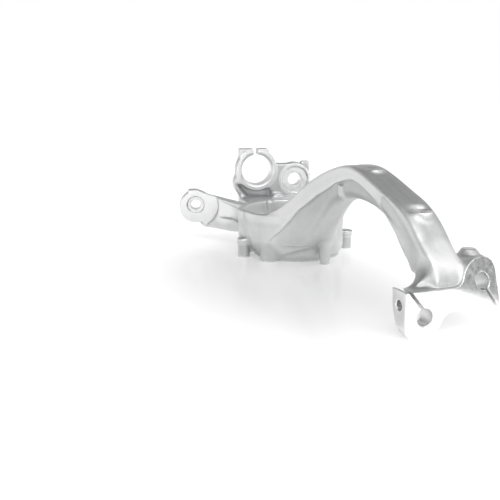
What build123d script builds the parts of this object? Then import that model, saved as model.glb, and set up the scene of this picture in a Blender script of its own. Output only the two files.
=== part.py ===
from build123d import *
import math
import os

# Origin at the bearing bore, on the outboard face the knuckle lies on. +Z runs inboard along the hub axis, -Y runs
# to the upper fork and the steering arm is on the -X side. Lengths are mm and angles are degrees.

# Hub bowl, its outer wall as (inset from the rim radius, z)
BEARING_R = 41.0
SEAT_R = 60.0
BOWL_R = 78.0
BOWL_WALL = 7.0
BOWL_FLARE = [(14, 8), (8, 24), (3, 40), (0, 56)]
RIM_Z = 64.0
PLATE_UNDER_Z = 4.0
PLATE_TOP_Z = 22.0
LEFT_INSET = 1.0
LEFT_WALL_Z = 26.0
RIGHT_INSET = 12.0
BOLT_PCD = 106.0
BOLT_COUNT = 4
BOLT_HOLE_R = 5.5
FOOT_R = 13.0
FOOT_ANGLE = 212.0

# Splash shield bosses, rib boss and sensor boss on the bowl
SHIELD_R = 8.5
SHIELD_Z = 27.0
COLLAR = 0.9
COLLAR_DEEP = 5.0
SHIELD_HOLE_R = 2.6
SHIELD_HOLE_DEEP = 16.0
RIB_X = 7.0
RIB_TOP_R = 10.0
RIB_FOOT_R = 6.0
RIB_Z = 31.0
SENSOR_X = -13.0
SENSOR_R = 6.5
SENSOR_HOLE_R = 3.6

# Gooseneck, side outlines as (y, z)
NECK_X = -1.5
BAND_HALF = 19.0
WEB_HALF = 16.5
BAND_SWEEP_R = 125.0
WEB_SWEEP_R = 105.0
WEB_FAR_SWEEP_R = 65.0
NECK_OUTER = [(22, 60), (-20, 61), (-40, 66.5), (-60, 81.5), (-82, 103), (-106, 120), (-140, 133.5), (-190, 141.5),
              (-235, 131.5), (-275, 118.5), (-308, 104.5), (-331, 84), (-348, 66), (-359, 46)]
NECK_RIDGE = [(22, 12), (-20, 14), (-43, 25), (-60, 44), (-83, 75), (-112, 96.5), (-154, 117), (-195, 126),
              (-231, 117), (-262, 102), (-283, 86), (-299, 69), (-312, 50)]
NECK_UNDER = [(-20, 8), (-55, 12), (-75, 24), (-104, 50), (-124, 73), (-143, 90), (-175, 102), (-211, 104),
              (-245, 98.5), (-275, 86), (-299, 70), (-318, 49)]
BAND_EDGE_R = 4.0
WEB_EDGE_R = 11.0
POCKET_LINE = [(-262, 111), (-290, 96), (-314, 77), (-327, 62)]
POCKET_WIDE = 13.0
POCKET_DEEP = 2.0
LUG_Y = -166.0
LUG_R = 9.0
LUG_PROUD = 3.0
LUG_TOP_Z = 117.0
TAB_Y = -108.5
TAB_R = 8.5
TAB_PROUD = 1.5
TAB_Z = 107.0

# Datum pads, each as (x, y, z, radius) of its flat top
PADS = [(-1, -211, 139.5, 9.5), (-1, -304, 108, 11), (39, -328, 73, 9)]

# Upper fork, outline about its own centre
FORK_X = -1.5
FORK_Z = 35.0
FORK_HALF = 52.5
FORK_FACE_Y = -366.0
FORK_THICK = 25.0
LOBE_R = 22.0
LOBE_DX = 33.0
LOBE_DZ = 13.0
LOBE_CORNER_R = 13.0
BRIDGE_HALF = 11.5
BRIDGE_BLEND_R = 12.0
TILT = 20.0
FOLD_DROP = 8.5
FOLD_RISE = 2.0
STUD_R = 8.25
STUD_DX = 33.0
STUD_DZ = 13.5
STUD_CHAMFER = 0.8
SLIT = 2.6
SLIT_LEAN = 40.0
SLIT_OFFSETS = (3.6, 0.9)
PINCH_R = 5.0
PINCH_Y = -354.0
PINCH_Z = 32.0
ROOT_HALF = 40.0

# Lower end, in a plane turned about Z, outline sizes as local (x, z)
LOWER_Y = 125.0
LOWER_YAW = 12.0
LOWER_THICK = 25.0
CLAMP_X = -11.3
CLAMP_Z = 103.0
CLAMP_R = 23.0
CLAMP_RING = 3.5
CLAMP_WALL = 9.0
EAR_LEFT = 26.5
EAR_RIGHT = 18.0
EAR_TOP = 32.0
CLAMP_SLIT = 6.3
CLAMP_SLIT_DX = -1.6
CLAMP_PINCH_R = 4.5
ARM_DX = 60.3
ARM_DZ = -15.7
ARM_BOSS_R = 26.0
ARM_RECESS_R = 20.5
ARM_RECESS = 4.0
ARM_BORE_R = 10.2
WEB_TOP = 8.5
DECK_Z = 60.0
DECK_UNDER_Z = 14.0
PANEL_DEEP = 14.0
KNOB_R = 12.5
KNOB_PROUD = 8.0
KNOB_DX = 32.0
KNOB_DZ = -49.0
POST = 13.0
POST_DX = 79.0
POST_TOP = 11.6

# Steering arm
EYE_X = -111.0
EYE_Y = 124.0
EYE_Z = 54.5
EYE_YAW = 16.0
EYE_R = 24.5
EYE_DROP = 3.0
EYE_THICK = 22.0
EYE_BORE_R = 7.5
EYE_RECESS_R = 13.0
EYE_RECESS = 3.5
EYE_FACE_R = 34.0
ARM_THICK = 22.0
ARM_ROOT = (-50, 44)
ARM_SIDE = [(-82, 67), (-46, 62), (-46, 27), (-74, 21), (-98, 20)]
CHANNEL_DEEP = 9.0
CHANNEL_START = 0.27
CHANNEL = [(-90, 68), (-62, 55.5), (-62, 34), (-71, 40), (-90, 38.5)]


def closed(*edges):
    return make_face(Wire(list(edges)))


def polygon(*points):
    return make_face(Polyline(*points, close=True))


def side_body(face, half=2 * BOWL_R):
    """Extrude a (y, z) face evenly across X."""
    return extrude(Plane.YZ.offset(-half) * face, amount=2 * half)


def between(upper, lower):
    """Face between two (y, z) curves that run the same way."""
    top = Spline(*upper)
    low = Spline(*lower)
    return closed(top, Line(top @ 1, low @ 1), low, Line(low @ 0, top @ 0))


def upright(radius, z0, z1):
    return Pos(0, 0, z0) * extrude(Circle(radius), amount=z1 - z0)


def facing(yaw, x, y, z):
    """Upright plane that looks to the near side, turned by yaw about Z."""
    turn = math.radians(yaw)
    along = (math.cos(turn), -math.sin(turn), 0)
    return Plane((x, y, z), x_dir=along, z_dir=(-math.sin(turn), -math.cos(turn), 0))


def mouth(plane, radius, size):
    """Conical cutter that chamfers the mouth of a bore."""
    return plane.offset(-size - 1) * Solid.make_cone(radius - 1, radius + size + 1, size + 2)


def neck_plan(half, sweep, far_sweep):
    """Plan of the neck: a strip that sweeps out into the bowl on the steering side and on the far side."""
    end = NECK_OUTER[-1][0] - 5
    strip = Pos(NECK_X, end / 2) * Rectangle(2 * half, -end)
    reach = 2 * BOWL_R
    left = Circle(BOWL_R - LEFT_INSET) & Pos(-reach / 2, 0) * Rectangle(reach, reach)
    right = Circle(BOWL_R - RIGHT_INSET) & Pos(reach / 2, 0) * Rectangle(reach, reach)
    plan = left + right + strip
    corners = [v for v in plan.vertices() if -BOWL_R < v.Y < -10 and abs(v.X - NECK_X) > half - 1]
    near, far = sorted(corners, key=lambda v: v.X)
    plan = fillet(near, sweep)
    far = [v for v in plan.vertices() if (v.X, v.Y) == (far.X, far.Y)]
    return fillet(far, far_sweep)


def long_edges(solid, curve):
    """Edges of the solid that run along a (y, z) curve on the neck's sides."""
    line = Spline(*curve)
    found = []
    for edge in solid.edges():
        p = edge @ 0.5
        if line.distance_to(Vector(p.Y, p.Z)) < 0.3 and abs(p.X - NECK_X) > WEB_HALF - 2:
            found.append(edge)
    return found


def neck():
    """Wide outer band on a narrower web, both cut to the same plan sweep."""
    tall = 2 * RIM_Z + 60
    band = side_body(between(NECK_OUTER, NECK_RIDGE)) & extrude(neck_plan(BAND_HALF, BAND_SWEEP_R, BAND_SWEEP_R), amount=tall)
    core = [(y, z - 3 * BAND_EDGE_R) for y, z in NECK_OUTER]
    web = side_body(between(core, NECK_UNDER)) & extrude(neck_plan(WEB_HALF, WEB_SWEEP_R, WEB_FAR_SWEEP_R), amount=tall)
    band = fillet(long_edges(band, NECK_OUTER), BAND_EDGE_R)
    web = fillet(long_edges(web, NECK_UNDER), WEB_EDGE_R)
    return band + web


def neck_lugs():
    """Rounded lug on the web under the ridge and flat round tab on the band, both on the steering side."""
    lug_x = NECK_X - WEB_HALF - LUG_PROUD + LUG_R
    lug = Pos(lug_x, LUG_Y, LUG_TOP_Z - LUG_R) * (upright(LUG_R, 0, LUG_R) + Sphere(LUG_R))
    tab = Plane((NECK_X, TAB_Y, TAB_Z), z_dir=(-1, 0, 0)) * Circle(TAB_R)
    return lug + extrude(tab, amount=BAND_HALF + TAB_PROUD)


def side_pockets():
    """Shallow round-ended pocket on each side of the falling half of the neck."""
    line = Spline(*POCKET_LINE)
    ends = [Pos(p.X, p.Y) * Circle(POCKET_WIDE / 2) for p in (line @ 0, line @ 1)]
    face = trace(line, POCKET_WIDE) + ends
    floor = BAND_HALF - POCKET_DEEP
    return [extrude(Plane.YZ.offset(NECK_X + side * floor) * face, amount=side * 20) for side in (-1, 1)]


def hub():
    """Bowl that widens inboard, on the machined seat ring. Its cavity is cut later."""
    wall = Spline((SEAT_R, PLATE_UNDER_Z), *[(BOWL_R - inset, z) for inset, z in BOWL_FLARE])
    rest = Polyline(wall @ 1, (BOWL_R, RIM_Z), (0, RIM_Z), (0, PLATE_UNDER_Z), wall @ 0)
    bowl = revolve(Plane.XZ * closed(wall, *rest.edges()), Axis.Z)
    return bowl + upright(SEAT_R, 0, PLATE_TOP_Z)


def bowl_cavity():
    inner = BOWL_R - BOWL_WALL
    section = polygon((0, PLATE_TOP_Z), (inner - 14, PLATE_TOP_Z), (inner - 7, PLATE_TOP_Z + 10),
                      (inner - 2, PLATE_TOP_Z + 26), (inner, RIM_Z), (inner, 3 * RIM_Z), (0, 3 * RIM_Z))
    return revolve(Plane.XZ * section, Axis.Z)


def left_wall_round():
    """Ring cut that rounds the foot of the upright wall on the steering side."""
    foot = (SEAT_R, PLATE_UNDER_Z)
    side = (BOWL_R - LEFT_INSET, LEFT_WALL_Z)
    out = BOWL_R + 20
    rest = Polyline(side, (out, LEFT_WALL_Z), (out, -1), (SEAT_R, -1), foot)
    return revolve(Plane.XZ * closed(RadiusArc(foot, side, -40), *rest.edges()), Axis.Z)


def shield_boss():
    boss = upright(SHIELD_R, 0, SHIELD_Z)
    collar = upright(SHIELD_R + COLLAR, SHIELD_Z - COLLAR_DEEP, SHIELD_Z)
    return boss + chamfer(collar.edges(), COLLAR * 0.9)


def shield_web(side):
    """Rib that ties a side boss to the bowl wall."""
    return Pos(side * (BOWL_R - 8), 0, SHIELD_Z / 2 + 3) * Box(16, SHIELD_R, SHIELD_Z - 6)


def rib_boss():
    """Round rib with a domed top, narrower at its foot."""
    cone = Solid.make_cone(RIB_FOOT_R, RIB_TOP_R, RIB_Z)
    return Part() + cone + Pos(0, 0, RIB_Z) * Sphere(RIB_TOP_R)


def shield_spots():
    return [Pos(-BOWL_R, 0), Pos(BOWL_R, 0), Pos(0, BOWL_R)]


def hub_bosses():
    foot = Rot(0, 0, FOOT_ANGLE) * Pos(SEAT_R + 3, 0) * upright(FOOT_R, 0, PLATE_TOP_Z)
    webs = [shield_web(side) for side in (-1, 1)]
    return [foot, Pos(RIB_X, -BOWL_R) * rib_boss(), *webs, *[at * shield_boss() for at in shield_spots()]]


def sensor_boss():
    """Half-round boss down the inside of the far wall, and the cutter of its hole for a push-in sensor."""
    at = Pos(SENSOR_X, BOWL_R - BOWL_WALL - SENSOR_R / 2)
    return at * upright(SENSOR_R, PLATE_TOP_Z - 2, RIM_Z), at * upright(SENSOR_HOLE_R, PLATE_TOP_Z + 6, RIM_Z + 1)


def hub_holes():
    """Through holes for the bearing bolts and blind holes for the shield screws, all from the seat side."""
    spots = PolarLocations(BOLT_PCD / 2, BOLT_COUNT, 180 / BOLT_COUNT)
    bolts = [spot * upright(BOLT_HOLE_R, -1, 2 * PLATE_TOP_Z) for spot in spots]
    return bolts + [at * upright(SHIELD_HOLE_R, -1, SHIELD_HOLE_DEEP) for at in shield_spots()]


def fork_outline():
    """Outline of both lobes and the bridge about the fork centre. It maps onto itself over half a turn."""
    base = -LOBE_DZ - LOBE_R
    lobe = Pos(-LOBE_DX, -LOBE_DZ) * Circle(LOBE_R)
    corner = Pos(-FORK_HALF + LOBE_CORNER_R, base + LOBE_CORNER_R) * Circle(LOBE_CORNER_R)
    block = polygon((-FORK_HALF, base + LOBE_CORNER_R), (-FORK_HALF, BRIDGE_HALF), (LOBE_DX, BRIDGE_HALF),
                    (LOBE_DX, -BRIDGE_HALF), (-LOBE_DX, -BRIDGE_HALF), (-LOBE_DX, base),
                    (-FORK_HALF + LOBE_CORNER_R, base))
    half = (lobe & Rectangle(2 * FORK_HALF, 4 * LOBE_R)) + block + corner
    whole = half + Rot(0, 0, 180) * half
    inner = [v for v in whole.vertices() if abs(v.X) < LOBE_DX - 5]
    return fillet(inner, BRIDGE_BLEND_R)


def fold_plane():
    """Plane of the upper stud face, set on the fold line and looking out of the face."""
    fold = Vector(2 * FORK_HALF, 0, -2 * FOLD_DROP).normalized()
    rise = Vector(-fold.Z, 0, fold.X)
    tilt = math.radians(TILT)
    out = Vector(0, -1, 0) * math.cos(tilt) + rise * math.sin(tilt)
    return Plane((FORK_X, FORK_FACE_Y, FORK_Z + FOLD_RISE), x_dir=fold, z_dir=out)


def stud_planes():
    """Planes on the two stud faces, at the bores, looking out of the face."""
    low = Plane((-STUD_DX, FORK_FACE_Y, FORK_Z - STUD_DZ), x_dir=(1, 0, 0), z_dir=(0, -1, 0))
    tilted = fold_plane()
    over = Vector(STUD_DX, FORK_FACE_Y, FORK_Z + STUD_DZ)
    gap = (over - tilted.origin).dot(tilted.z_dir)
    high = over - Vector(0, gap / tilted.z_dir.Y, 0)
    return low, Plane(high, x_dir=tilted.x_dir, z_dir=tilted.z_dir)


def low_lobe_side():
    """Side outline (y, z) that rounds the back of the lower lobe down to its foot."""
    back = FORK_FACE_Y + FORK_THICK
    arc = ThreePointArc((back, FORK_Z), (FORK_FACE_Y + 0.68 * FORK_THICK, FORK_Z - 21), (FORK_FACE_Y + 2, 0))
    rest = Polyline(arc @ 1, (FORK_FACE_Y - 5, 0), (FORK_FACE_Y - 5, 100), (back, 100), arc @ 0)
    return closed(arc, *rest.edges())


def fork():
    """Block with an upright stud face, folded back above a slanting line to make the second stud face."""
    face = Plane((FORK_X, FORK_FACE_Y, FORK_Z), x_dir=(1, 0, 0), z_dir=(0, -1, 0))
    tilted = fold_plane()
    sheet = Rectangle(6 * FORK_HALF, 6 * FORK_HALF)
    prism = extrude(face * fork_outline(), amount=-2.5 * FORK_THICK)
    prism -= extrude(tilted * sheet, amount=80)
    low = prism & extrude(face * sheet, amount=-FORK_THICK)
    high = prism & extrude(tilted * sheet, amount=-FORK_THICK)
    return (low & side_body(low_lobe_side())) + high


def fork_root():
    """Flare that carries the neck into both lobes."""
    run = Vector(0, -0.72, -0.69)
    stations = [(-318, 76, 2 * WEB_HALF - 3, 24), (-332, 61, 2 * WEB_HALF + 3, 23), (-341, 49, 2 * WEB_HALF + 22, 20),
                (-345, 41, 2 * ROOT_HALF, 15)]
    sections = [Plane((FORK_X, y, z), x_dir=(1, 0, 0), z_dir=run) * RectangleRounded(wide, deep, 5)
                for y, z, wide, deep in stations]
    return loft(sections)


def fork_cuts():
    deep = 2 * FORK_THICK
    cuts = []
    for plane, lean, offset in zip(stud_planes(), (SLIT_LEAN, SLIT_LEAN + 180), SLIT_OFFSETS):
        slit = Rot(0, 0, lean) * Pos(offset, FORK_HALF / 2) * Rectangle(SLIT, FORK_HALF)
        cuts.append(extrude(plane.offset(5) * (Circle(STUD_R) + slit), amount=-deep))
        cuts.append(mouth(plane, STUD_R, STUD_CHAMFER))
    pinch = Plane((FORK_X, PINCH_Y, PINCH_Z), z_dir=(1, 0, 0)) * Circle(PINCH_R)
    cuts.append(extrude(pinch, amount=FORK_HALF + 10, both=True))
    return cuts


def lower_plane():
    """Near face of the lower end, its origin at the clamp centre and its axes along x and z."""
    turned = facing(LOWER_YAW, 0, LOWER_Y, 0)
    return Plane(turned.from_local_coords((CLAMP_X, CLAMP_Z, 0)), x_dir=turned.x_dir, z_dir=turned.z_dir)


def lower_outline():
    """Clamp ring with its two ears, the web, the arm boss and the foot of the plate."""
    base = DECK_UNDER_Z + 12 - CLAMP_Z
    left = -EAR_LEFT
    ears = polygon((left, 12), (left, EAR_TOP), (EAR_RIGHT, EAR_TOP), (CLAMP_R, 12))
    foot = polygon((left, 12), (left - 5, -15), (left - 5, -31), (left, -44), (left, base), (ARM_DX, base),
                   (ARM_DX, WEB_TOP), (0, WEB_TOP))
    boss = Pos(ARM_DX, ARM_DZ) * Circle(ARM_BOSS_R)
    shoulder = polygon((ARM_DX, WEB_TOP), (ARM_DX + 18, ARM_DZ + 19), (POST_DX + POST / 2, ARM_DZ + 4),
                       (POST_DX + POST / 2, ARM_DZ - 8), (ARM_DX, ARM_DZ - ARM_BOSS_R + 4))
    return foot + Circle(CLAMP_R + CLAMP_WALL) + ears + boss + shoulder


def lower_deck():
    """Deck that ties the lower plate to the bowl, its underside sloping up to the plate."""
    near = BOWL_R - BOWL_WALL - 24
    left = CLAMP_X - EAR_LEFT
    back = LOWER_Y + LOWER_THICK
    plan = polygon((left - 12, near), (ARM_DX + 2, near - 12), (ARM_DX + 9, LOWER_Y - 12), (ARM_DX + 8, LOWER_Y + 10),
                   (left + 6, back + 4), (left + 1, LOWER_Y + 8))
    foot = DECK_UNDER_Z - 6
    side = polygon((20, foot), (BOWL_R + 12, foot), (back, DECK_UNDER_Z + 16), (back + 5, DECK_Z), (20, DECK_Z))
    return extrude(plan, amount=DECK_Z) & side_body(side)


def lower_end():
    """Upright plate with the clamp and the arm boss, with the square post behind it and the knob before it."""
    face = lower_plane()
    plate = extrude(face * lower_outline(), amount=-LOWER_THICK)
    tall = POST_TOP - ARM_DZ
    post = face.offset(-LOWER_THICK / 2) * (Pos(POST_DX, POST_TOP - tall / 2) * Rectangle(POST, tall))
    knob = face * (Pos(KNOB_DX, KNOB_DZ) * Circle(KNOB_R))
    return lower_deck() + plate + extrude(post, amount=-LOWER_THICK / 2) + extrude(knob, amount=KNOB_PROUD)


def lower_cuts():
    face = lower_plane()
    proud = face.offset(5)
    deep = LOWER_THICK + 20
    slit = Pos(CLAMP_SLIT_DX, EAR_TOP) * Rectangle(CLAMP_SLIT, EAR_TOP)
    middle = face.offset(-LOWER_THICK / 2)
    pinch = Plane(middle.from_local_coords((0, CLAMP_R + 1, 0)), x_dir=face.z_dir, z_dir=face.x_dir)
    arm = Pos(ARM_DX, ARM_DZ)
    return [extrude(proud * (Circle(CLAMP_R) + slit), amount=-deep), mouth(face, CLAMP_R, CLAMP_RING),
            extrude(pinch * Circle(CLAMP_PINCH_R), amount=2 * EAR_TOP, both=True),
            extrude(proud * (arm * Circle(ARM_RECESS_R)), amount=-5 - ARM_RECESS),
            extrude(proud * (arm * Circle(ARM_BORE_R)), amount=-deep)]


def lower_panel():
    """Sunk panel between the clamp ring and the deck."""
    top = DECK_Z - CLAMP_Z
    panel = polygon((-EAR_LEFT, top + 20), (-EAR_LEFT / 2 - 2, top), (EAR_RIGHT + 5, top), (EAR_RIGHT + 5, top + 9),
                    (CLAMP_R / 2, top + 18), (0, top + 30))
    return extrude(lower_plane() * (panel - Circle(CLAMP_R + CLAMP_WALL)), amount=-PANEL_DEEP)


def eye_plane():
    return facing(EYE_YAW, EYE_X, EYE_Y, EYE_Z)


def eye_lobe():
    """Round lobe of the eye with the small lug on its top, square to the eye's machined face."""
    lobe = Pos(0, -EYE_DROP) * Circle(EYE_R)
    lug = Pos(-4, EYE_R - EYE_DROP - 4) * Rectangle(15, 10)
    return extrude(eye_plane() * (lobe + lug), amount=-EYE_THICK)


def arm_points():
    """Plan points of the arm's middle: behind the eye, the bend and the root in the deck."""
    face = eye_plane().offset(-EYE_THICK / 2)
    start = face.origin - face.x_dir * 4
    bend = face.origin + face.x_dir * 22
    return Vector(start.X, start.Y), Vector(bend.X, bend.Y), Vector(*ARM_ROOT)


def across(outline):
    """Extrude an (x, z) outline through the whole arm along Y."""
    return extrude(Plane((0, 2 * EYE_Y, 0), x_dir=(1, 0, 0), z_dir=(0, -1, 0)) * outline, amount=2 * EYE_Y)


def steering_arm():
    web = polygon((EYE_X, EYE_Z - EYE_DROP), (EYE_X + 2, EYE_Z - EYE_DROP + EYE_R), *ARM_SIDE)
    plan = trace(Polyline(*arm_points()), ARM_THICK)
    return (extrude(plan, amount=2 * EYE_Z) & across(web)) + eye_lobe()


def arm_channel():
    """Channel in the near side of the arm, from nothing by the eye to its full depth by the bowl."""
    start, bend, root = arm_points()
    away = (root - bend).normalized().rotate(Axis.Z, -90)
    first = bend + (root - bend) * CHANNEL_START + away * ARM_THICK / 2
    last = root + away * (ARM_THICK / 2 - CHANNEL_DEEP)
    corners = (first, last, last + away * ARM_THICK, first + away * ARM_THICK)
    plan = polygon(*[(p.X, p.Y) for p in corners])
    return extrude(plan, amount=2 * EYE_Z) & across(polygon(*CHANNEL))


def eye_cuts():
    face = eye_plane()
    return [extrude(face * Circle(EYE_FACE_R), amount=EYE_THICK),
            extrude(face.offset(-EYE_RECESS) * Circle(EYE_RECESS_R), amount=EYE_THICK),
            extrude(face.offset(5) * Circle(EYE_BORE_R), amount=-2 * EYE_THICK)]


def datum_pads():
    """Cutters that clear the metal over each flat pad, and the pads themselves."""
    over = [Pos(x, y) * upright(radius + 1, z, z + 30) for x, y, z, radius in PADS]
    pads = [Pos(x, y) * upright(radius, z - 14, z) for x, y, z, radius in PADS]
    return over, pads


over_pads, pads = datum_pads()
sensor, sensor_hole = sensor_boss()
body = hub() + neck() - left_wall_round() + lower_end() + steering_arm() + fork() + fork_root()
body = body + neck_lugs() - side_pockets() - over_pads + pads - bowl_cavity()
body = body + hub_bosses() + sensor - sensor_hole - hub_holes() - fork_cuts()
body = body - lower_cuts() - lower_panel() - arm_channel() - eye_cuts()
knuckle = body - upright(BEARING_R, -1, 3 * RIM_Z)

os.makedirs("parts", exist_ok=True)
export_step(knuckle, "parts/knuckle.step")
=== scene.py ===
"""Looks of a steering knuckle: the forged skin over the CAD solid, its metals and a white studio."""
import math

import bmesh
import bpy
import numpy as np
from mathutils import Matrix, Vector, noise


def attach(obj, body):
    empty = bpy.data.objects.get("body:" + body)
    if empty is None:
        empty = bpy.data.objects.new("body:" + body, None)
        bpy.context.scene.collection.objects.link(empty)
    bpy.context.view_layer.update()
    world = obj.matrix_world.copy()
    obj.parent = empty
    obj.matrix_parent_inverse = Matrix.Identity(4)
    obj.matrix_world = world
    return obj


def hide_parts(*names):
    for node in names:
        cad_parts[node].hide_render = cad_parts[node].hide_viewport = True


# Lengths are in metres, in the frame of the CAD solid
VOXEL = 0.00085
TRIANGLES = 190000
SHARP_ANGLE = math.radians(50)
SOFT_PASSES = 10
BLEND_PASSES = 70
WIDE_PASSES = 240
SOFT_PULL = 0.62
WIDE_PULL = 0.7
TINY = 1e-6

# Cosines from which a normal counts as along an axis, up to which as across it, and from which as frontal
ALONG = 0.93
ACROSS = 0.5
FRONTAL = 0.84

# Hub
BEARING_R = 0.041
SEAT_R = 0.0605
DECK_Z = 0.022
DECK_R = 0.060
BOLT_CIRCLE_R = 0.053
BOLT_R = 0.0055
BOSS_AT = 0.078
BOSS_R = 0.010
BOSS_BORE_R = 0.0026
LEFT_BOSS = (-BOSS_AT, 0)
RIGHT_BOSS = (BOSS_AT, 0)
REAR_BOSS = (0, BOSS_AT)
BOSSES = (LEFT_BOSS, RIGHT_BOSS, REAR_BOSS)

# Fork. The fold between its stud faces is (x, z, lean in degrees, softness): the solid's, and the one here
FORK_X = -0.0015
FORK_Y = -0.366
STUD_LOW = (-0.033, FORK_Y, 0.0215)
STUD_HIGH = (0.033, FORK_Y, 0.0485)
STUD_R = 0.00825
PINCH = (FORK_X, -0.354, 0.032)
PINCH_R = 0.005
HIGH_TILT = math.radians(20)
FOLD_RUN = (105, 0, -17)
CAD_FOLD = (FORK_X, 0.037, 9.2, 1e-5)
SOFT_FOLD = (-0.007, 0.0460, 21.0, 0.004)

# Lower end and steering arm. Yaws are in degrees. ARM and CLAMP_PINCH are offsets along the face and up
LOWER_YAW = 12
LOWER_THICK = 0.025
CLAMP = (0, 0.125, 0.103)
CLAMP_SHIFT = -0.0113
CLAMP_R = 0.023
CLAMP_CHAMFER_R = 0.0267
CLAMP_FACE_R = 0.0335
CLAMP_PINCH = (0, 0.024)
CLAMP_PINCH_R = 0.0045
ARM = (0.0603, -0.0157)
ARM_R = 0.0102
ARM_SPOT_R = 0.0205
ARM_SPOT_DEPTH = 0.004
ARM_FACE_R = 0.0262
EYE = (-0.111, 0.124, 0.0545)
EYE_YAW = 16
EYE_R = 0.0075
EYE_SPOT_R = 0.013
EYE_SPOT_DEPTH = 0.0035
EYE_FACE_R = 0.034
SPOT_SLACK = 0.0002

# Datum pads and the lug on the neck
NECK_PAD = (-0.001, -0.211, 0.1395)
SLOPE_PAD = (-0.001, -0.304, 0.108)
SIDE_PAD = (0.039, -0.328, 0.073)
LUG = [((-0.015, -0.166, 0.111), 0.018, 1.0)]

# Forms that the forging has beyond the solid
WEB_DRAW = 0.0032
PAD_BEVEL = 0.0032
BOWL_INNER_R = 0.059
BOWL_PULL = 0.012
BOWL_SWELL = 0.0052
COLLAR = 0.0011
PLATE_BULGE = 0.0045
CREASE = 0.0009
WEAR_AND_SHADE_DEPTH = 0.00035
SWELL_RELIEF = 0.00022
SWELL_SCALE = 42.0
GRAIN_RELIEF = 0.00007
GRAIN_SCALE = 190.0
DRAWN_RELIEF = 0.00026
DRAWN_SCALE = (120.0, 13.0, 13.0)
RELIEF_SINK = 0.00004
TOOL_PITCH = 0.00045

# The line in the side view where the outer band meets the web, as (y, z)
RIDGE = np.array([(-0.043, 0.025), (-0.060, 0.044), (-0.083, 0.075), (-0.112, 0.0965), (-0.154, 0.117),
                  (-0.195, 0.126), (-0.231, 0.117)])

# Sections of the neck's foot: centre (y, z), half width, half depth, share of the width on the far side
FOOT_SECTIONS = [
    (-0.296, 0.086, 0.0165, 0.0180, 1.0),
    (-0.314, 0.070, 0.0175, 0.0165, 1.0),
    (-0.327, 0.0595, 0.0205, 0.0135, 0.9),
    (-0.335, 0.0510, 0.0260, 0.0100, 0.8),
    (-0.342, 0.0430, 0.0420, 0.0045, 0.7),
]
FOOT_SQUARE = 0.7
FOOT_ACROSS = (-0.69, 0.72)

# Cone under the side pad: centre (x, y), and its radius at each height
CONE_AT = (0.039, -0.330)
CONE = [(0.0096, 0.0729), (0.0098, 0.0708), (0.0135, 0.0672), (0.0195, 0.0615), (0.0190, 0.0550),
        (0.0110, 0.0460)]

# Cuts in the lower end: name, outline (along the face, up) from the clamp, mouth and floor out of its face
LOWER_CUTS = [
    ("back_left", [(-0.023, -0.080), (0.009, -0.080), (0.010, -0.066), (0.006, -0.052), (-0.012, -0.050),
                   (-0.023, -0.054)], -0.034, -0.011),
    ("back_right", [(0.019, -0.080), (0.050, -0.080), (0.052, -0.062), (0.046, -0.051), (0.030, -0.049),
                    (0.020, -0.053)], -0.034, -0.013),
    ("panel", [(-0.0285, -0.019), (-0.026, -0.027), (-0.0165, -0.0405), (0.021, -0.0405), (0.024, -0.034),
               (0.019, -0.0275), (0.008, -0.0335), (-0.009, -0.0325), (-0.020, -0.0265)], 0.003, -0.014),
]
MOUTH_SHARE = 1.04
FLOOR_SHARE = 0.86

# Where parts of the forging run into each other softly: centre, radius, share
BLENDS = [
    ((-0.0534, -0.0334, 0.012), 0.027, 1.0),
    ((-0.002, -0.333, 0.070), 0.040, 1.0),
    ((-0.030, -0.340, 0.050), 0.020, 1.0),
    ((-0.002, -0.305, 0.090), 0.036, 1.0),
    ((0.039, -0.330, 0.055), 0.021, 1.0),
    ((-0.017, -0.311, 0.053), 0.017, 0.9),
    ((-0.018, -0.285, 0.112), 0.017, 0.5),
    ((-0.019, -0.303, 0.100), 0.018, 0.8),
    ((-0.019, -0.318, 0.088), 0.018, 1.0),
    ((-0.019, -0.328, 0.075), 0.018, 1.0),
    ((-0.001, -0.211, 0.134), 0.017, 0.8),
    ((-0.012, 0.124, 0.070), 0.036, 0.85),
    ((-0.080, -0.006, 0.034), 0.022, 0.9),
    ((0.007, -0.078, 0.040), 0.018, 0.25),
    ((-0.060, 0.030, 0.040), 0.026, 0.6),
    ((0.050, -0.045, 0.030), 0.026, 0.7),
    ((0.015, 0.150, 0.030), 0.055, 0.30),
]

# The widest blends: the neck's foot on the fork, and the hollow under the clamp ring
WIDE_BLENDS = [
    ((-0.029, -0.339, 0.051), 0.024, 1.0),
    ((-0.006, -0.336, 0.056), 0.016, 0.6),
    ((-0.020, -0.323, 0.064), 0.015, 0.6),
    ((-0.0135, 0.134, 0.070), 0.026, 0.85),
]

# Painted shade on the neck's foot, in the hollow beside it, and a painted highlight where it is bright
FOOT_PAINTED_SHADE = [((-0.027, -0.343, 0.047), 0.020, 0.9), ((-0.012, -0.345, 0.047), 0.013, 0.6)]
FOOT_PAINTED_HIGHLIGHT = [((0.002, -0.338, 0.066), 0.026, 0.9)]

# Brightness that the metal mirrors: the front is bright low down and high up, with a dark band between
FRONT_LOW = 1.25
FRONT_BAND = 0.24
FRONT_UPPER = 1.6
BACK_LOW = 0.98
BACK_UPPER = 0.22

# Camera fitted to the photo, with its angles in degrees
CAMERA_AT = (-0.3903, -0.8773, 0.225)
CAMERA_DOWN = 13.06
CAMERA_TURN = 20.1
CAMERA_LENS = 49.97
CAMERA_SENSOR = 36
FLOOR_R = 9

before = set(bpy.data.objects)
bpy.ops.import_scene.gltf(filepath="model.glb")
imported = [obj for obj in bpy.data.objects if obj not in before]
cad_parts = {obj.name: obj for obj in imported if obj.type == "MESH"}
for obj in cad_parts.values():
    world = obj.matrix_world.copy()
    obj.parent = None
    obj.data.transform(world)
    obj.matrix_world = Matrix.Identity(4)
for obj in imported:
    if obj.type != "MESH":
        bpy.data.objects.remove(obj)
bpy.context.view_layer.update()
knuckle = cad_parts["knuckle"]


def unit(*v):
    v = np.array(v, float)
    return v / np.linalg.norm(v)


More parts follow.
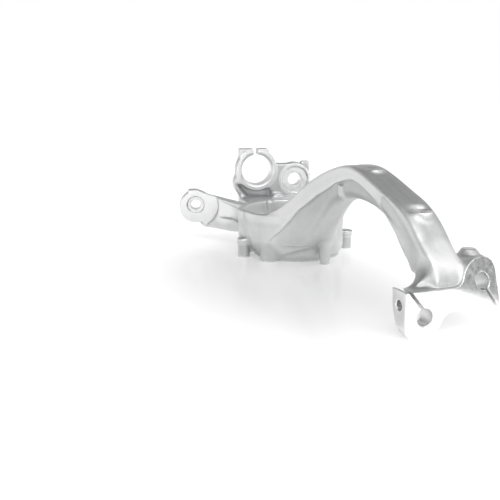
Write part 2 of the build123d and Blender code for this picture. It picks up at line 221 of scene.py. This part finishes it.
def facing(yaw):
    """Local x and outward axes of an upright face that looks to the near side, turned by yaw about Z."""
    turn = math.radians(yaw)
    along = np.array((math.cos(turn), -math.sin(turn), 0))
    return along, np.array((-math.sin(turn), -math.cos(turn), 0))


def on_face(origin, along, dx, dz):
    return origin + along * dx + np.array((0, 0, dz))


UP = np.array((0.0, 0.0, 1.0))
AHEAD = np.array((0, -1.0, 0))
low_x, low_out = facing(LOWER_YAW)
clamp = low_x * CLAMP_SHIFT + np.array(CLAMP)
clamp_pinch = on_face(clamp - low_out * LOWER_THICK / 2, low_x, *CLAMP_PINCH)
arm = on_face(clamp, low_x, *ARM)
_, eye_out = facing(EYE_YAW)
eye = np.array(EYE)

# The upper stud face rises from the solid's fold, and its bore starts on that tilted face
fold = unit(*FOLD_RUN)
rise = np.array((-fold[2], 0, fold[0]))
high_out = AHEAD * math.cos(HIGH_TILT) + rise * math.sin(HIGH_TILT)
fold_origin = np.array((CAD_FOLD[0], FORK_Y, CAD_FOLD[1]))
stud_low = np.array(STUD_LOW)
stud_high = np.array(STUD_HIGH)
stud_high = stud_high - np.array((0, (stud_high - fold_origin) @ high_out / high_out[1], 0))

ZONES = ["hub", "fork_low", "fork_high", "clamp", "arm", "eye", "pads"]

# Machined bores: zone, point, axis, radius, start and end along the axis
BORES = [
    ("hub", np.zeros(3), UP, BEARING_R, -0.001, 0.023),
    ("fork_low", stud_low, AHEAD, STUD_R, -0.03, 0.002),
    ("fork_high", stud_high, high_out, STUD_R, -0.03, 0.002),
    ("clamp", clamp, low_out, CLAMP_R, -0.027, 0.001),
    ("arm", arm, low_out, ARM_R, -0.027, 0.001),
    ("arm", arm, low_out, ARM_SPOT_R, -0.0045, 0.001),
    ("eye", eye, eye_out, EYE_R, -0.023, 0.001),
    ("eye", eye, eye_out, EYE_SPOT_R, -0.004, 0.001),
    ("fork_low", np.array(PINCH), np.array((1.0, 0, 0)), PINCH_R, -0.06, 0.06),
    ("clamp", clamp_pinch, low_x, CLAMP_PINCH_R, -0.03, 0.03),
]
for k in range(4):
    angle = math.radians(45 + 90 * k)
    at = BOLT_CIRCLE_R * np.array((math.cos(angle), math.sin(angle), 0))
    BORES.append(("hub", at, UP, BOLT_R, -0.001, 0.023))
for boss in BOSSES:
    BORES.append(("hub", np.array((*boss, 0)), UP, BOSS_BORE_R, -0.001, 0.0165))

# Machined faces: zone, point, axis, height above the point, reach from the axis
FACES = [
    ("hub", np.zeros(3), UP, 0.0, SEAT_R),
    *(("hub", np.array((*boss, 0)), UP, 0.0, BOSS_R) for boss in BOSSES),
    ("hub", np.zeros(3), UP, DECK_Z, DECK_R),
    ("clamp", clamp, low_out, 0.0, CLAMP_FACE_R),
    ("clamp", clamp, low_out, -LOWER_THICK, CLAMP_FACE_R),
    ("arm", arm, low_out, 0.0, ARM_FACE_R),
    ("arm", arm, low_out, -ARM_SPOT_DEPTH, ARM_SPOT_R + SPOT_SLACK),
    ("arm", arm, low_out, -LOWER_THICK, ARM_FACE_R),
    ("eye", eye, eye_out, 0.0, EYE_FACE_R),
    ("eye", eye, eye_out, -EYE_SPOT_DEPTH, EYE_SPOT_R + SPOT_SLACK),
    ("pads", np.array(NECK_PAD), UP, 0.0, 0.0096),
    ("pads", np.array(SLOPE_PAD), UP, 0.0, 0.0111),
    ("pads", np.array(SIDE_PAD), UP, 0.0, 0.0072),
]


def ramp(v, a, b):
    """Smooth step from 0 at a to 1 at b."""
    t = np.clip((v - a) / (b - a), 0, 1)
    return t * t * (3 - 2 * t)


def window(v, a, b, c, d):
    """Smooth step up from a to b, and down again from c to d."""
    return ramp(v, a, b) * (1 - ramp(v, c, d))


def polar(co):
    return np.hypot(co[:, 0], co[:, 1]), np.degrees(np.arctan2(co[:, 1], co[:, 0]))


def in_axes(co, origin, axis):
    """Height along the axis, and distance from it."""
    rel = co - origin
    h = rel @ axis
    return h, np.linalg.norm(rel - h[:, None] * axis, axis=1)


def share_of(co, spots):
    """Largest share that any spot (centre, radius, share) gives each point."""
    share = np.zeros(len(co))
    for centre, radius, most in spots:
        away = np.linalg.norm(co - np.array(centre), axis=1)
        share = np.maximum(share, most * (1 - ramp(away, 0.55 * radius, radius)))
    return share


def fold_depth(co, fold=SOFT_FOLD):
    """How far the stud face lies back of its lower plane, past the fold."""
    x, z, lean, soft = fold
    turn = math.radians(lean)
    past = (co[:, 0] - x) * math.sin(turn) + (co[:, 2] - z) * math.cos(turn)
    return 0.5 * (past + np.sqrt(past * past + soft * soft)) * math.tan(HIGH_TILT)


def fork_front(co):
    return FORK_Y + fold_depth(co)


def machined(co, normal, slack):
    """Index of the machined zone of each point, or -1."""
    found = np.full(len(co), -1)
    for name, origin, axis, radius, low, high in BORES:
        h, r = in_axes(co, origin, axis)
        wall = np.abs(normal @ axis) < ACROSS
        found[(np.abs(r - radius) < slack) & (h > low) & (h < high) & wall] = ZONES.index(name)
    for name, origin, axis, level, reach in FACES:
        h, r = in_axes(co, origin, axis)
        flat = np.abs(normal @ axis) > ALONG
        found[(np.abs(h - level) < slack) & (r < reach) & flat] = ZONES.index(name)
    h, r = in_axes(co, clamp, low_out)
    chamfer = (r > CLAMP_R - slack) & (r < CLAMP_CHAMFER_R) & (h > -0.0045) & (h < slack)
    found[chamfer & (np.abs(h + CLAMP_CHAMFER_R - r) < 0.0012)] = ZONES.index("clamp")
    front = (np.abs(co[:, 1] - fork_front(co)) < slack + 0.0002) & (normal[:, 1] < -FRONTAL)
    upper = fold_depth(co) >= 0.0003
    found[front & ~upper] = ZONES.index("fork_low")
    found[front & upper] = ZONES.index("fork_high")
    return found


def shape_fork(co):
    """Turns the fold of the stud faces down towards the far lobe, and softens it."""
    change = fold_depth(co) - fold_depth(co, CAD_FOLD)
    co[:, 1] += change * ramp(-co[:, 1], 0.330, 0.347)


def shape_neck(co):
    """Draws the web in where it ends under the neck, and bevels the side pad."""
    ends = window(-co[:, 1], 0.284, 0.310, 0.322, 0.334) * (1 - ramp(co[:, 2], 0.058, 0.084))
    co[:, 0] += WEB_DRAW * ends * ramp(-co[:, 0], 0.006, 0.015)
    away = np.hypot(co[:, 0] - SIDE_PAD[0], co[:, 1] - SIDE_PAD[1])
    drop = 0.85 * np.clip(away - 0.0068, 0, PAD_BEVEL)
    co[:, 2] -= drop * ramp(co[:, 2], 0.0650, 0.0715) * (away < 0.020)


def near_boss(co, boss):
    """1 inside a splash shield boss, 0 clear of it."""
    away = np.hypot(co[:, 0] - boss[0], co[:, 1] - boss[1])
    return (1 - ramp(co[:, 2], 0.027, 0.029)) * (1 - ramp(away, 0.0095, 0.0112))


def shape_bowl(co):
    """Narrows the bowl behind the neck and lets its wall run out into the steering arm."""
    r, angle = polar(co)
    depth = BOWL_PULL * ramp(co[:, 2], 0.002, 0.052) * (1 - ramp(r, 0.080, 0.092))
    pull = window(angle, -74, -52, 10, 46) * depth * (1 - near_boss(co, RIGHT_BOSS))
    pulled = np.maximum(r - pull, BOWL_INNER_R + 0.12 * (r - BOWL_INNER_R))
    target = np.where((r > BOWL_INNER_R) & (co[:, 2] < 0.066), np.minimum(pulled, r), r)
    swell = BOWL_SWELL * np.exp(-(((angle - 166) / 15) ** 2)) * window(r, 0.069, 0.074, 0.092, 0.104)
    swell *= ramp(co[:, 2], 0.008, 0.026) * (1 - near_boss(co, LEFT_BOSS))
    co[:, :2] *= ((target + swell) / np.maximum(r, TINY))[:, None]


def shape_bosses(co):
    """Thicker upper collar of the splash shield bosses, over a slightly thinner foot."""
    for boss in BOSSES:
        rel = co[:, :2] - boss
        r = np.hypot(rel[:, 0], rel[:, 1])
        lift = COLLAR * window(co[:, 2], 0.0168, 0.0178, 0.0262, 0.0272) - 0.0004
        lift *= ramp(r, 0.0065, 0.0075) * near_boss(co, boss) * ramp(co[:, 2], 0.001, 0.003)
        co[:, :2] += rel * (lift / np.maximum(r, TINY))[:, None]


def shape_plate(co):
    """Lets the left edge of the lower plate bulge beside the sunk panel."""
    rel = co - clamp
    left, high = -(rel @ low_x), rel[:, 2]
    push = PLATE_BULGE * np.exp(-(((high + 0.021) / 0.012) ** 2)) * window(left, 0.019, 0.030, 0.036, 0.045)
    co -= (push * (co[:, 1] > 0.095))[:, None] * low_x


def channel_share(co, normal):
    """1 on the floor of the steering arm's channel, where a painted highlight goes."""
    out = np.array((-0.80, -0.60, 0.0))
    away = np.linalg.norm((co - np.array((-0.080, 0.088, 0.050))) * (1, 1, 1.3), axis=1)
    return ramp(normal @ out, 0.80, 0.95) * (1 - ramp(away, 0.014, 0.032))


def inner_wall(co, normal):
    """1 on the upright inside of the bowl, where a painted highlight goes."""
    r, _ = polar(co)
    inward = -np.einsum("ij,ij->i", normal[:, :2], co[:, :2]) / np.maximum(r, TINY)
    return ramp(inward, 0.3, 0.7) * window(r, 0.046, 0.052, 0.080, 0.086) * ramp(co[:, 2], 0.022, 0.032)


def kept_crisp(co):
    """Share of smoothing left to each point where edges are machined or sharply formed."""
    lobes = ramp(np.abs(co[:, 0] - FORK_X), 0.020, 0.030) * ramp(-co[:, 1], 0.343, 0.350)
    free = 1 - 0.92 * np.maximum(lobes, ramp(-co[:, 1], 0.3575, 0.3625))
    free *= 1 - 0.85 * ramp(co[:, 2], 0.122, 0.126) * (co[:, 1] > 0.09)
    for boss in BOSSES:
        free *= 1 - 0.75 * near_boss(co, boss)
    free *= 1 - 0.7 * share_of(co, LUG)
    return free * ramp(co[:, 2], 0.0, 0.0012)


def ridge_distance(co):
    """Distance in the side view to the line where the outer band meets the web, negative on the web."""
    best = np.full(len(co), 1.0)
    for a, b in zip(RIDGE[:-1], RIDGE[1:]):
        rel = co[:, 1:] - a
        run = b - a
        t = np.clip(rel @ run / (run @ run), 0, 1)
        away = np.linalg.norm(rel - t[:, None] * run, axis=1)
        outside = run[1] * rel[:, 0] - run[0] * rel[:, 1] > 0
        best = np.where(away < np.abs(best), np.where(outside, away, -away), best)
    return best


def band_side(co, normal):
    """1 on the steering side of the outer band, -1 on the web below it, 0 elsewhere."""
    where = ramp(-normal[:, 0], 0.4, 0.8) * window(-co[:, 1], 0.035, 0.065, 0.235, 0.265)
    return (2 * ramp(ridge_distance(co), -0.0015, 0.0015) - 1) * where


def crease(co, normal):
    """Depth of the trim line along the ridge, open on the steering side and fading towards the crest."""
    ahead = -co[:, 1]
    along = window(ahead, 0.046, 0.06, 0.21, 0.23) * (1 - 0.45 * ramp(ahead, 0.15, 0.2))
    wide = 0.0008 + 0.0007 * np.exp(-(((ahead - 0.112) / 0.012) ** 2))
    side = ramp(-normal[:, 0], 0.25, 0.6)
    return CREASE * side * along * np.exp(-((ridge_distance(co) / wide) ** 2))


def column(items, key, width, kind=float):
    """A property of all the items, as an array of rows."""
    values = np.empty(len(items) * width, kind)
    items.foreach_get(key, values)
    return values.reshape(-1, width)


def read(mesh):
    """Places and normals of the points, and the edges between them."""
    edges = column(mesh.edges, "vertices", 2, int)
    return column(mesh.vertices, "co", 3), column(mesh.vertices, "normal", 3), edges


def write(mesh, co):
    mesh.vertices.foreach_set("co", co.ravel())
    mesh.update()


class Neighbours:
    """Averages over each point's neighbours."""

    def __init__(self, edges, count):
        self.a = np.concatenate([edges[:, 0], edges[:, 1]])
        self.b = np.concatenate([edges[:, 1], edges[:, 0]])
        self.degree = np.maximum(np.bincount(self.a, minlength=count), 1)
        self.count = count

    def mean(self, values):
        if values.ndim == 1:
            return np.bincount(self.a, values[self.b], self.count) / self.degree
        return np.stack([self.mean(values[:, k]) for k in range(values.shape[1])], axis=1)

    def relax(self, co, pull, passes):
        """Draws each point towards its neighbours by its own share, over and over."""
        for _ in range(passes):
            co += pull[:, None] * (self.mean(co) - co)


def applied(obj):
    """The object's mesh with its modifiers, as a new mesh."""
    bpy.context.view_layer.update()
    graph = bpy.context.evaluated_depsgraph_get()
    return bpy.data.meshes.new_from_object(obj.evaluated_get(graph))


def swap_mesh(obj, mesh):
    old = obj.data
    obj.modifiers.clear()
    obj.data = mesh
    bpy.data.meshes.remove(old)


def linked(name, data):
    """A new object in the scene."""
    obj = bpy.data.objects.new(name, data)
    bpy.context.scene.collection.objects.link(obj)
    return obj


def circle(count):
    return np.linspace(0, 2 * math.pi, count + 1)[:-1]


def ring_solid(bm, rings):
    """Closed solid through rings of points, in bm."""
    rows = [[bm.verts.new(p) for p in ring] for ring in rings]
    count = len(rows[0])
    made = []
    for a, b in zip(rows[:-1], rows[1:]):
        made += [bm.faces.new((a[k], a[(k + 1) % count], b[(k + 1) % count], b[k])) for k in range(count)]
    made += [bm.faces.new(rows[0][::-1]), bm.faces.new(rows[-1])]
    bmesh.ops.recalc_face_normals(bm, faces=made)


def prism(name, outline, top, bottom):
    """Cutter into the lower end with a draft: its outline shrinks from the mouth to the floor."""
    points = np.array(outline)
    middle = points.mean(0)
    rings = []
    for depth, share in ((top, MOUTH_SHARE), (bottom, FLOOR_SHARE)):
        ring = middle + (points - middle) * share
        rings.append([on_face(clamp, low_x, x, z) + low_out * depth for x, z in ring])
    bm = bmesh.new()
    ring_solid(bm, rings)
    mesh = bpy.data.meshes.new(name)
    bm.to_mesh(mesh)
    bm.free()
    return linked(name, mesh)


def cut_lower_end(obj):
    """Two draft pockets in the back of the lower end with a rib between, and the mouth of the sunk panel."""
    cutters = [prism(*cut) for cut in LOWER_CUTS]
    for cutter in cutters:
        step = obj.modifiers.new(cutter.name, "BOOLEAN")
        step.operation = "DIFFERENCE"
        step.object = cutter
        step.solver = "EXACT"
    swap_mesh(obj, applied(obj))
    for cutter in cutters:
        mesh = cutter.data
        bpy.data.objects.remove(cutter)
        bpy.data.meshes.remove(mesh)


def foot_ring(y, z, half, deep, narrow):
    """Section of the neck's foot, between an oval and a rectangle."""
    ring = []
    for a in circle(32):
        c, q = math.cos(a), math.sin(a)
        side = math.copysign(abs(c) ** FOOT_SQUARE, c) * half * (1 if c < 0 else narrow)
        off = math.copysign(abs(q) ** FOOT_SQUARE, q) * deep
        ring.append((FORK_X + side, y + off * FOOT_ACROSS[0], z + off * FOOT_ACROSS[1]))
    return ring


def add_flares(obj):
    """Flare that carries the neck into both lobes of the fork, and the cone under the side pad."""
    bm = bmesh.new()
    bm.from_mesh(obj.data)
    ring_solid(bm, [foot_ring(*section) for section in FOOT_SECTIONS])
    x, y = CONE_AT
    ring_solid(bm, [[(x + r * math.cos(a), y + r * math.sin(a), z) for a in circle(32)] for r, z in CONE])
    bm.to_mesh(obj.data)
    bm.free()


def dense_copy(source):
    """Closed even mesh over the CAD solid, with the cuts and the flares."""
    mesh = source.data.copy()
    bm = bmesh.new()
    bm.from_mesh(mesh)
    bmesh.ops.remove_doubles(bm, verts=bm.verts, dist=TINY)
    bm.to_mesh(mesh)
    bm.free()
    mesh.materials.clear()
    obj = linked("knuckle_forging", mesh)
    cut_lower_end(obj)
    add_flares(obj)
    remesh = obj.modifiers.new("even", "REMESH")
    remesh.mode = "VOXEL"
    remesh.voxel_size = VOXEL
    swap_mesh(obj, applied(obj))
    return obj


def relax_within(co, edges, share):
    """Widest smoothing, on the points with a share alone. Their outermost ring stays in place."""
    part = np.flatnonzero(share > 0)
    place = np.full(len(co), -1)
    place[part] = np.arange(len(part))
    links = place[edges]
    local = Neighbours(links[(links >= 0).all(1)], len(part))
    inner = local.degree == np.bincount(edges.ravel(), minlength=len(co))[part]
    patch = co[part]
    local.relax(patch, WIDE_PULL * share[part] * inner, WIDE_PASSES)
    co[part] = patch


def soften(obj):
    """Shapes the forging, rounds its edges and hollows, and leaves the machined ones crisp."""
    co, normal, edges = read(obj.data)
    near = Neighbours(edges, len(co))
    shape_fork(co)
    hold = (machined(co, normal, 0.0009) >= 0).astype(float)
    for _ in range(2):
        hold = np.maximum(hold, near.mean(hold))
    free = (1 - np.clip(hold * 1.5, 0, 1)) * kept_crisp(co)
    blend = share_of(co, BLENDS) * free
    wide = share_of(co, WIDE_BLENDS) * free
    shape_neck(co)
    shape_bowl(co)
    shape_plate(co)
    shape_bosses(co)
    near.relax(co, 0.5 * (0.4 + 0.6 * free), 2)
    near.relax(co, SOFT_PULL * free, SOFT_PASSES)
    near.relax(co, SOFT_PULL * blend, BLEND_PASSES)
    relax_within(co, edges, wide)
    return co, free


def roughen(co, normal, free):
    """Small unevenness of a forged and blasted skin, as real relief."""
    swell = np.array([noise.noise(Vector(p) * SWELL_SCALE) for p in co])
    grain = np.array([noise.noise(Vector(p) * GRAIN_SCALE) for p in co])
    drawn = np.array([noise.noise(Vector(p)) for p in co * DRAWN_SCALE])
    outer = window(-co[:, 1], 0.10, 0.16, 0.335, 0.345) * ramp(np.abs(normal[:, 2]), 0.3, 0.6)
    lift = swell * SWELL_RELIEF + grain * GRAIN_RELIEF + drawn * outer * DRAWN_RELIEF - RELIEF_SINK
    return co + normal * (lift * free - crease(co, normal))[:, None]


def thin_out(obj):
    """Brings the mesh down to its number of triangles."""
    count = sum(len(p.vertices) - 2 for p in obj.data.polygons)
    if count > TRIANGLES:
        thin = obj.modifiers.new("thin", "DECIMATE")
        thin.ratio = TRIANGLES / count
        swap_mesh(obj, applied(obj))


def bend_of(co, normal, near):
    """How far each point stands out of its surroundings, in metres."""
    smooth = co
    for _ in range(3):
        smooth = near.mean(smooth)
    bend = np.einsum("ij,ij->i", co - smooth, normal)
    for _ in range(2):
        bend = 0.5 * bend + 0.5 * near.mean(bend)
    return bend


def mark(mesh, name, values):
    """Keeps a value for each point, under a name that the materials read."""
    layer = mesh.attributes.new(name, "FLOAT", "POINT")
    layer.data.foreach_set("value", values.astype(np.float32))


def mark_skin(mesh):
    """Where the metal gets painted highlights, scuffs, wear with a painted edge highlight, and painted shade.
    """
    co, normal, edges = read(mesh)
    bend = bend_of(co, normal, Neighbours(edges, len(co)))
    side = band_side(co, normal)
    # Painted highlights: the arm's channel floor, a patch on the neck's foot, the inside wall of the bowl and
    # the steering side of the outer band
    painted_highlight = np.maximum(channel_share(co, normal), share_of(co, FOOT_PAINTED_HIGHLIGHT))
    painted_highlight = np.maximum(np.maximum(painted_highlight, 0.7 * inner_wall(co, normal)), 0.4 * side)
    scuffed = 0.95 * ramp(fold_depth(co), 0.0004, 0.0042) * (co[:, 1] < fork_front(co) + 0.0012)
    scuffed = np.maximum(scuffed, share_of(co, [(NECK_PAD, 0.020, 0.55)]))
    # Painted shade on the web below the ridge, heavier higher up
    web = -side * (0.25 + 0.65 * ramp(co[:, 2], 0.045, 0.100))
    # Painted shade: darker in concave hollows and along the trim line of the ridge
    painted_shade = np.maximum(np.clip(-bend / WEAR_AND_SHADE_DEPTH, 0, 1), 1.3 * crease(co, normal) / CREASE)
    # Painted shade in the hollow beside the neck's foot joins the rest
    painted_shade = np.maximum(np.maximum(painted_shade, 1.4 * share_of(co, FOOT_PAINTED_SHADE)), web)
    mark(mesh, "painted_highlight", painted_highlight)
    mark(mesh, "scuffed", scuffed)
    # Convex edges: wear, and a painted edge highlight
    mark(mesh, "worn_and_highlit", np.clip(bend / WEAR_AND_SHADE_DEPTH, 0, 1))
    mark(mesh, "painted_shade", painted_shade)


def sort_faces(mesh):
    """Gives each face the metal of its zone, and keeps the sharp edges sharp."""
    zone = machined(column(mesh.polygons, "center", 3), column(mesh.polygons, "normal", 3), 0.0007)
    mesh.polygons.foreach_set("material_index", (zone + 1).astype(np.int32))
    bm = bmesh.new()
    bm.from_mesh(mesh)
    for edge in bm.edges:
        if len(edge.link_faces) == 2 and edge.calc_face_angle() > SHARP_ANGLE:
            edge.smooth = False
    bm.to_mesh(mesh)
    bm.free()


class Nodes:
    """Short way to write a node tree."""

    def __init__(self, tree):
        self.tree = tree
        tree.nodes.clear()

    def put(self, socket, value):
        if isinstance(value, bpy.types.NodeSocket):
            self.tree.links.new(value, socket)
        else:
            socket.default_value = value

    def add(self, kind, **values):
        """A new node, with its inputs and its settings by name."""
        node = self.tree.nodes.new(kind)
        for key, value in values.items():
            if key in node.inputs:
                self.put(node.inputs[key], value)
            else:
                setattr(node, key, value)
        return node

    def attribute(self, name):
        return self.add("ShaderNodeAttribute", attribute_name=name).outputs["Fac"]

    def math(self, operation, a, b=0.0):
        node = self.add("ShaderNodeMath", operation=operation)
        self.put(node.inputs[0], a)
        self.put(node.inputs[1], b)
        return node.outputs[0]

    def plus(self, a, b):
        return self.math("ADD", a, b)

    def times(self, a, b):
        return self.math("MULTIPLY", a, b)

    def noise(self, vector, scale, detail, rough):
        node = self.add("ShaderNodeTexNoise", Vector=vector, Scale=scale, Detail=detail, Roughness=rough)
        return node.outputs["Fac"]

    def span(self, value, a, b, to_a, to_b, way="LINEAR"):
        """The value carried from the range a to b into the range to_a to to_b."""
        node = self.add("ShaderNodeMapRange", interpolation_type=way)
        for k, v in enumerate((value, a, b, to_a, to_b)):
            self.put(node.inputs[k], v)
        return node.outputs[0]

    def fade(self, value, a, b, to_a=0.0, to_b=1.0):
        """From to_a at a to to_b at b, smoothly."""
        step = self.span(value, a, b, 0.0, 1.0, "SMOOTHSTEP")
        return self.span(step, 0.0, 1.0, to_a, to_b)

    def mix(self, factor, a, b):
        node = self.add("ShaderNodeMix", data_type="RGBA")
        self.put(node.inputs["Factor"], factor)
        self.put(node.inputs[6], a)
        self.put(node.inputs[7], b)
        return node.outputs[2]

    def bump(self, height, distance, strength):
        return self.add("ShaderNodeBump", Height=height, Distance=distance, Strength=strength)

    def metal(self, share, colour, rough, coarse, fine):
        """Metal whose normal follows the coarse bump and then the fine one."""
        self.put(fine.inputs["Normal"], coarse.outputs["Normal"])
        shader = self.add("ShaderNodeBsdfPrincipled", Metallic=share, Roughness=rough)
        self.put(shader.inputs["Base Color"], colour)
        self.put(shader.inputs["Normal"], fine.outputs["Normal"])
        self.show("ShaderNodeOutputMaterial", shader)

    def show(self, kind, shader):
        self.put(self.add(kind).inputs["Surface"], shader.outputs[0])


def grey(v, tint=0.0):
    return (v - tint, v, v + tint, 1.0)


def new_material(name):
    material = bpy.data.materials.new(name)
    material.use_nodes = True
    return material, Nodes(material.node_tree)


def forged_material():
    """Blasted forging: a mottled grey, darker with painted shade in hollows, creases and on the web, lighter
    on worn edges with a painted edge highlight, lighter still with painted highlights, and drawn on the neck.
    """
    material, n = new_material("forged_alloy")
    place = n.add("ShaderNodeTexCoord").outputs["Object"]
    worn_and_highlit = n.attribute("worn_and_highlit")
    cloud = n.noise(place, 26.0, 4.0, 0.6)
    speck = n.noise(place, 620.0, 3.0, 0.65)
    pit = n.noise(place, 1150.0, 1.0, 0.5)
    tone = n.plus(n.span(cloud, 0.3, 0.7, 0.0, 0.55), n.span(speck, 0.35, 0.65, 0.0, 0.45))
    colour = n.mix(tone, grey(0.56, 0.004), grey(0.72, 0.003))
    stretched = n.add("ShaderNodeMapping", Vector=place, Scale=(150.0, 16.0, 16.0))
    drawn = n.noise(stretched.outputs[0], 1.0, 3.0, 0.6)
    neck = n.fade(n.add("ShaderNodeSeparateXYZ", Vector=place).outputs["Y"], -0.12, -0.20)
    colour = n.mix(n.times(n.span(drawn, 0.48, 0.72, 0.0, 0.5), neck), colour, grey(0.50, 0.002))
    # Painted shade, mixed in towards dark grey
    colour = n.mix(n.times(n.attribute("painted_shade"), 0.5), colour, grey(0.40, 0.002))
    # Lighter on convex edges: wear, and a painted edge highlight
    colour = n.mix(n.times(worn_and_highlit, 0.75), colour, grey(0.94))
    # Painted highlights, mixed in towards near white
    colour = n.mix(n.times(n.attribute("painted_highlight"), 0.85), colour, grey(0.93))
    rough = n.plus(n.span(speck, 0.3, 0.7, 0.40, 0.56), n.times(worn_and_highlit, -0.08))
    n.metal(0.9, colour, rough, n.bump(speck, 0.00035, 0.55), n.bump(pit, 0.00012, 0.35))
    return material


def machined_material(name, origin, axis):
    """Cut metal with fine rings round the axis of its bore, dulled where it is scuffed."""
    material, n = new_material("machined_" + name)
    place = n.add("ShaderNodeTexCoord").outputs["Object"]
    turn = Vector(axis).to_track_quat("Z", "Y").to_euler()
    local = n.add("ShaderNodeMapping", vector_type="TEXTURE", Vector=place, Location=tuple(origin),
                  Rotation=tuple(turn)).outputs[0]
    wave = {"Vector": local, "Scale": 0.32 / TOOL_PITCH, "Distortion": 0.6, "Detail": 1.0}
    rings = n.add("ShaderNodeTexWave", wave_type="RINGS", rings_direction="Z", **wave)
    bands = n.add("ShaderNodeTexWave", wave_type="BANDS", bands_direction="Z", **wave)
    marks = n.plus(rings.outputs["Fac"], bands.outputs["Fac"])
    cloud = n.noise(local, 60.0, 3.0, 0.6)
    fine = n.noise(local, 900.0, 2.0, 0.6)
    colour = n.mix(n.span(cloud, 0.3, 0.7, 0.0, 1.0), grey(0.84, 0.003), grey(0.93, 0.002))
    colour = n.mix(n.span(fine, 0.35, 0.65, 0.0, 0.22), colour, grey(0.62))
    scuffed = n.attribute("scuffed")
    blotch = n.noise(local, 170.0, 5.0, 0.7)
    dull = n.mix(n.span(blotch, 0.36, 0.62, 0.0, 1.0), grey(0.25, 0.002), grey(0.58, 0.002))
    colour = n.mix(scuffed, colour, dull)
    rough = n.plus(n.span(cloud, 0.3, 0.7, 0.27, 0.38), n.times(fine, 0.06))
    rough = n.plus(rough, n.times(scuffed, n.span(blotch, 0.35, 0.65, 0.14, 0.02)))
    n.metal(1.0, colour, rough, n.bump(marks, 0.00003, 0.5), n.bump(fine, 0.00006, 0.4))
    return material


def build_knuckle():
    obj = dense_copy(knuckle)
    co, free = soften(obj)
    write(obj.data, co)
    _, normal, _ = read(obj.data)
    write(obj.data, roughen(co, normal, free))
    thin_out(obj)
    obj.data.polygons.foreach_set("use_smooth", np.ones(len(obj.data.polygons), bool))
    mark_skin(obj.data)
    sort_faces(obj.data)
    obj.data.materials.append(forged_material())
    centres = {"hub": (np.zeros(3), UP), "fork_low": (stud_low, AHEAD), "fork_high": (stud_high, high_out),
               "clamp": (clamp, low_out), "arm": (arm, low_out), "eye": (eye, eye_out),
               "pads": (np.array((0.0, -0.15, 0)), UP)}
    for name in ZONES:
        obj.data.materials.append(machined_material(name, *centres[name]))
    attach(obj, "root")
    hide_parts("knuckle")


def build_floor():
    """Pale floor that mirrors a little and glows as painted light: less under the part, as a painted shadow,
    than around it, and most in front.
    """
    bm = bmesh.new()
    bm.faces.new([bm.verts.new((FLOOR_R * math.cos(a), FLOOR_R * math.sin(a), 0)) for a in circle(64)])
    mesh = bpy.data.meshes.new("floor")
    bm.to_mesh(mesh)
    bm.free()
    floor = linked("floor", mesh)
    material, n = new_material("pale_floor")
    shader = n.add("ShaderNodeBsdfPrincipled", Metallic=0.0, Roughness=0.13)
    shader.inputs["Base Color"].default_value = grey(0.70)
    shader.inputs["Emission Color"].default_value = grey(1.0)
    place = n.add("ShaderNodeSeparateXYZ", Vector=n.add("ShaderNodeTexCoord").outputs["Object"])
    x = n.plus(place.outputs["X"], 0.08)
    y = n.times(n.plus(place.outputs["Y"], 0.12), 0.62)
    away = n.math("SQRT", n.plus(n.times(x, x), n.times(y, y)))
    # Painted light: the floor's glow, dimmed around the part as a painted shadow and raised in front
    painted_glow = n.times(n.fade(place.outputs["Y"], -0.28, -0.76, 0.58, 2.0), n.fade(away, 0.05, 0.24, 0.40, 1.0))
    n.put(shader.inputs["Emission Strength"], painted_glow)
    n.show("ShaderNodeOutputMaterial", shader)
    mesh.materials.append(material)


def build_world():
    """Even white for the camera. The metal mirrors a studio that differs from front to back and in height."""
    world = bpy.data.worlds.new("studio")
    bpy.context.scene.world = world
    world.use_nodes = True
    n = Nodes(world.node_tree)
    way = n.add("ShaderNodeSeparateXYZ", Vector=n.add("ShaderNodeTexCoord").outputs["Generated"])
    front = n.times(way.outputs["Y"], -1.0)
    upper = n.fade(front, -0.25, 0.35, BACK_UPPER, FRONT_UPPER)
    front_low = n.fade(way.outputs["Z"], 0.04, 0.20, FRONT_LOW, FRONT_BAND)
    share = n.fade(front, 0.1, 0.7)
    low = n.plus(n.times(front_low, share), n.times(n.math("SUBTRACT", 1.0, share), BACK_LOW))
    high = n.fade(way.outputs["Z"], 0.30, 0.62)
    level = n.plus(n.times(upper, high), n.times(low, n.math("SUBTRACT", 1.0, high)))
    mirrored = n.add("ShaderNodeBackground", Strength=level)
    seen = n.add("ShaderNodeBackground", Color=grey(1.0), Strength=1.0)
    both = n.add("ShaderNodeMixShader")
    n.put(both.inputs[0], n.add("ShaderNodeLightPath").outputs["Is Camera Ray"])
    n.put(both.inputs[1], mirrored.outputs[0])
    n.put(both.inputs[2], seen.outputs[0])
    n.show("ShaderNodeOutputWorld", both)


def build_light():
    """Soft light high up in front, aimed at the neck."""
    light = bpy.data.lights.new("front", "AREA")
    light.shape = "RECTANGLE"
    light.size = 1.4
    light.size_y = 0.7
    light.energy = 7
    obj = linked("front", light)
    obj.location = (-0.2, -1.2, 1.3)
    obj.rotation_euler = (Vector((0, -0.1, 0.05)) - obj.location).to_track_quat("-Z", "Y").to_euler()


def build_camera():
    data = bpy.data.cameras.new("camera")
    data.lens = CAMERA_LENS
    data.sensor_width = CAMERA_SENSOR
    data.clip_end = 50
    obj = linked("camera", data)
    obj.location = CAMERA_AT
    obj.rotation_euler = (math.radians(90 - CAMERA_DOWN), 0, math.radians(-CAMERA_TURN))
    bpy.context.scene.camera = obj


build_camera()
build_world()
build_floor()
build_knuckle()
build_light()
bpy.context.scene.view_settings.view_transform = "Standard"
